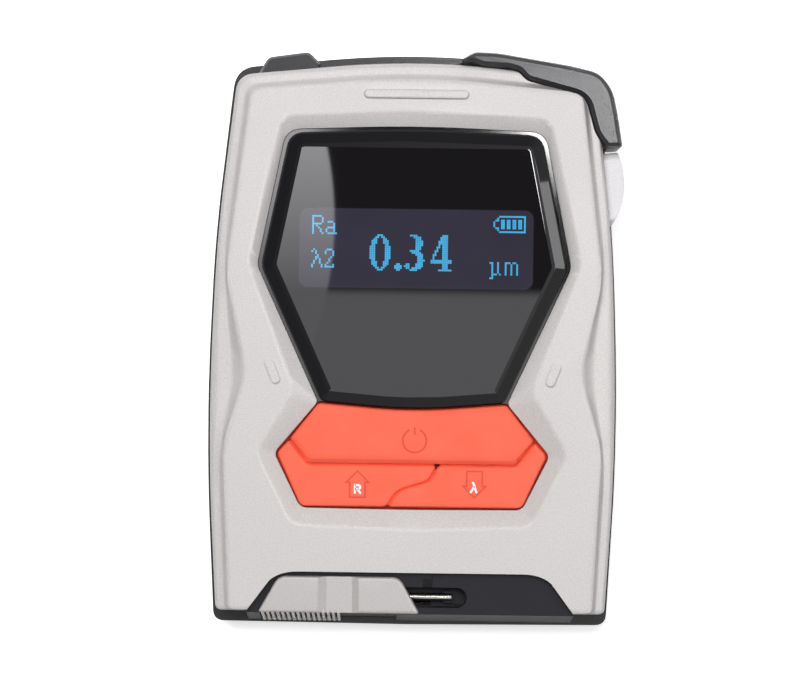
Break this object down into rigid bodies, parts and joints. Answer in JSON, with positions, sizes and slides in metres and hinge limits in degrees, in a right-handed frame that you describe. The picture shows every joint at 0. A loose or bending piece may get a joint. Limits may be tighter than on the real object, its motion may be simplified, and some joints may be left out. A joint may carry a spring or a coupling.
{
  "type": "surface roughness tester",
  "caption": "Pocket surface roughness tester with a display window, front keys, a side start key and a slider that opens the pickup window.",
  "frame": {"origin": "centre line of the body on the flat back face", "axes": "+Z out of the front face, +Y to the top end, +X to the side with the start key"},
  "size_m": [0.0744, 0.1031, 0.0248],
  "materials": {
    "silver_shell": "satin silver paint with fine metallic speckle",
    "dark_shell": "fine matte texture",
    "black_frame": "matte",
    "dark_lens": "polished",
    "red_keys": "satin",
    "silver_key": "satin silver paint",
    "silver_slider": "satin silver paint",
    "bay_black": "fine matte texture",
    "steel": "ground",
    "spring_steel": "rolled sheet",
    "cast_alloy": "die cast",
    "brass_part": "turned",
    "gear_plastic": "moulded acetal",
    "motor_can": "drawn can",
    "pickup_grey": "moulded",
    "ruby": "polished",
    "diamond": "ground",
    "circuit_board": "solder mask",
    "chip_black": "moulded",
    "battery_foil": "laminated foil",
    "foam": "closed cell foam",
    "display_glass": "polished",
    "flex_film": "film",
    "switch_white": "moulded",
    "screw_dark": "black oxide",
    "socket_tin": "tinned"
  },
  "bodies": {
    "housing": {"front_shell": "silver_shell", "rear_shell": "dark_shell", "bezel_frame": "black_frame", "lens": "dark_lens", "display_gasket": "foam", "display_module": "display_glass", "display_cable": "flex_film", "key_switches": "chip_black", "start_switch": "chip_black", "main_board": "circuit_board", "board_chips": "chip_black", "buzzer": "chip_black", "usb_socket": "socket_tin", "battery": "battery_foil", "bay_block": "bay_black", "guide_bar": "steel", "drive_frame": "cast_alloy", "guide_rods": "steel", "drive_motor": "motor_can", "case_screws": "screw_dark", "board_screws": "steel"},
    "power_key": {"power_key": "red_keys", "power_plunger": "switch_white"},
    "up_key": {"up_key": "red_keys", "up_plunger": "switch_white"},
    "down_key": {"down_key": "red_keys", "down_plunger": "switch_white"},
    "start_key": {"start_key": "silver_key", "start_plunger": "switch_white"},
    "slider": {"slider_cover": "silver_slider", "shutter": "spring_steel"},
    "lead_screw": {"lead_screw": "steel", "screw_gear": "gear_plastic"},
    "motor_shaft": {"motor_pinion": "brass_part"},
    "carriage": {"carriage": "gear_plastic", "pickup_housing": "pickup_grey", "skid": "ruby", "arm_pin": "steel"},
    "stylus": {"stylus_arm": "spring_steel", "stylus_tip": "diamond"}
  },
  "joints": [
    {"name": "power_press", "type": "slide", "parent": "housing", "child": "power_key", "axis": [0, 0, -1], "range_m": [0, 0.0006], "stiffness_N_per_m": 1200, "springref_m": -0.0002},
    {"name": "up_press", "type": "slide", "parent": "housing", "child": "up_key", "axis": [0, 0, -1], "range_m": [0, 0.0006], "stiffness_N_per_m": 1200, "springref_m": -0.0002},
    {"name": "down_press", "type": "slide", "parent": "housing", "child": "down_key", "axis": [0, 0, -1], "range_m": [0, 0.0006], "stiffness_N_per_m": 1200, "springref_m": -0.0002},
    {"name": "start_press", "type": "slide", "parent": "housing", "child": "start_key", "axis": [-0.9934, -0.1144, 0], "range_m": [0, 0.0008], "stiffness_N_per_m": 1200, "springref_m": -0.0002},
    {"name": "slider_slide", "type": "slide", "parent": "housing", "child": "slider", "axis": [1, 0, 0], "range_m": [0, 0.0098]},
    {"name": "screw_turn", "type": "hinge", "parent": "housing", "child": "lead_screw", "pos_m": [0, -0.0406, 0.0122], "axis": [1, 0, 0], "range_deg": [0, 2160.1]},
    {"name": "carriage_slide", "type": "slide", "parent": "housing", "child": "carriage", "axis": [1, 0, 0], "range_m": [0, 0.006]},
    {"name": "motor_turn", "type": "hinge", "parent": "housing", "child": "motor_shaft", "pos_m": [0, -0.03659, 0.01666], "axis": [1, 0, 0], "range_deg": [-4320.2, 0]},
    {"name": "stylus_swing", "type": "hinge", "parent": "carriage", "child": "stylus", "pos_m": [-0.011, -0.0406, 0.00395], "axis": [0, 1, 0], "range_deg": [-1.4, 0.6], "stiffness_Nm_per_rad": 0.005}
  ],
  "couplings": [
    {"joint": "screw_turn", "follows": "carriage_slide", "rad_per_m": 6283.2},
    {"joint": "motor_turn", "follows": "carriage_slide", "rad_per_m": -12566}
  ]
}
